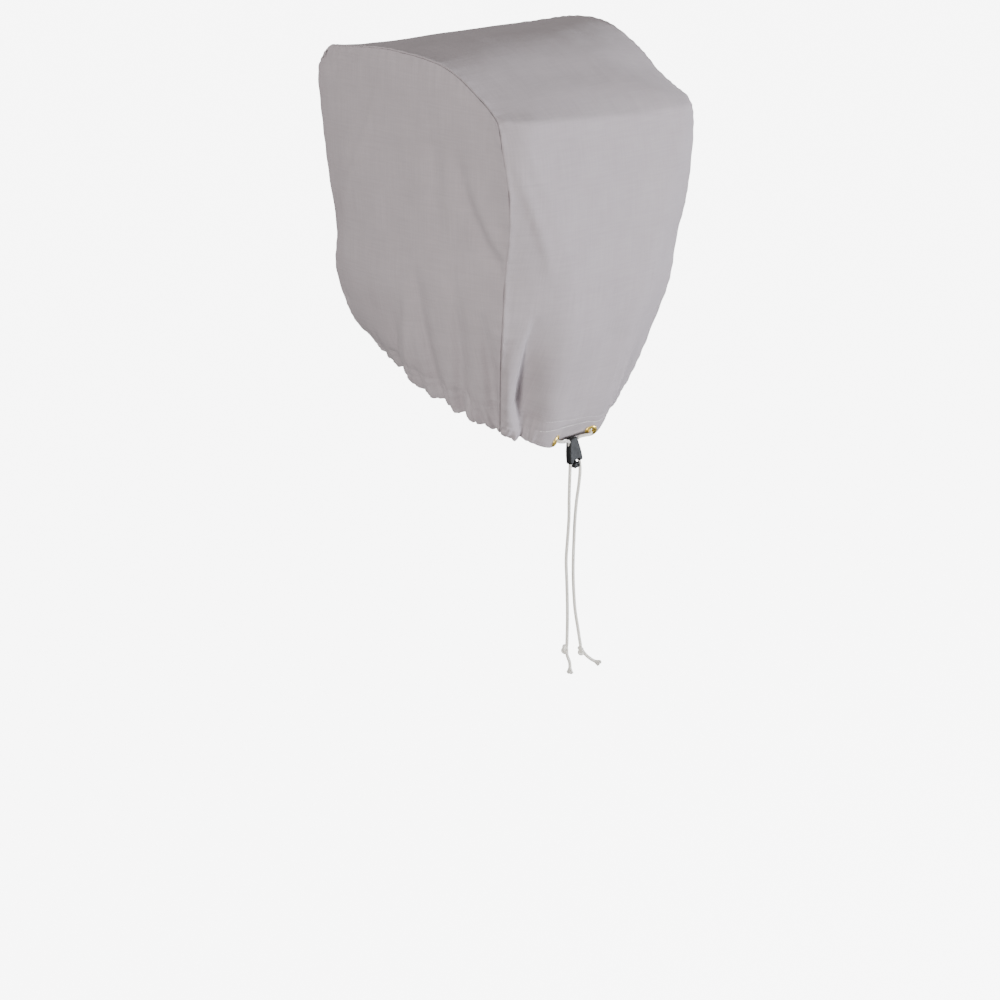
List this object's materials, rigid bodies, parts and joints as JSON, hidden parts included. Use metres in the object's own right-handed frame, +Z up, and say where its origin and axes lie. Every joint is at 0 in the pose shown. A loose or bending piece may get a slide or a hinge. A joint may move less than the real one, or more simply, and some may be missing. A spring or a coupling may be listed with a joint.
{
  "type": "outboard motor cover",
  "caption": "Hollow grey cloth hood of two side panels and one centre panel, gathered at its open hem by a drawcord through grommets and a sprung cord lock.",
  "frame": {"origin": "on the underside of the cloth top, above the middle of the hood, where the hood rests on what it covers", "axes": "+X towards starboard, +Y forward towards the front panel, +Z up; the drawcord hangs at the back, towards -Y"},
  "size_m": [0.4151, 0.4286, 0.9703],
  "materials": {
    "side_cloth": "matt grey plain-weave cloth",
    "centre_cloth": "matt grey plain-weave cloth",
    "grommet_brass": "polished rolled brass",
    "cord_weave": "cream braided cord",
    "lock_plastic": "satin black moulded plastic"
  },
  "bodies": {
    "hood": {"centre_panel": "centre_cloth", "side_panel_port": "side_cloth", "side_panel_starboard": "side_cloth", "grommet_port": "grommet_brass", "grommet_starboard": "grommet_brass", "cord_port": "cord_weave", "cord_starboard": "cord_weave", "knot_port": "cord_weave", "knot_starboard": "cord_weave", "lock_body": "lock_plastic"},
    "button": {"lock_button": "lock_plastic"}
  },
  "joints": [
    {"name": "button_press", "type": "slide", "parent": "hood", "child": "button", "axis": [-0.1741, 0, 0.9847], "range_m": [0, 0.004], "stiffness_N_per_m": 400, "springref_m": -0.01}
  ]
}
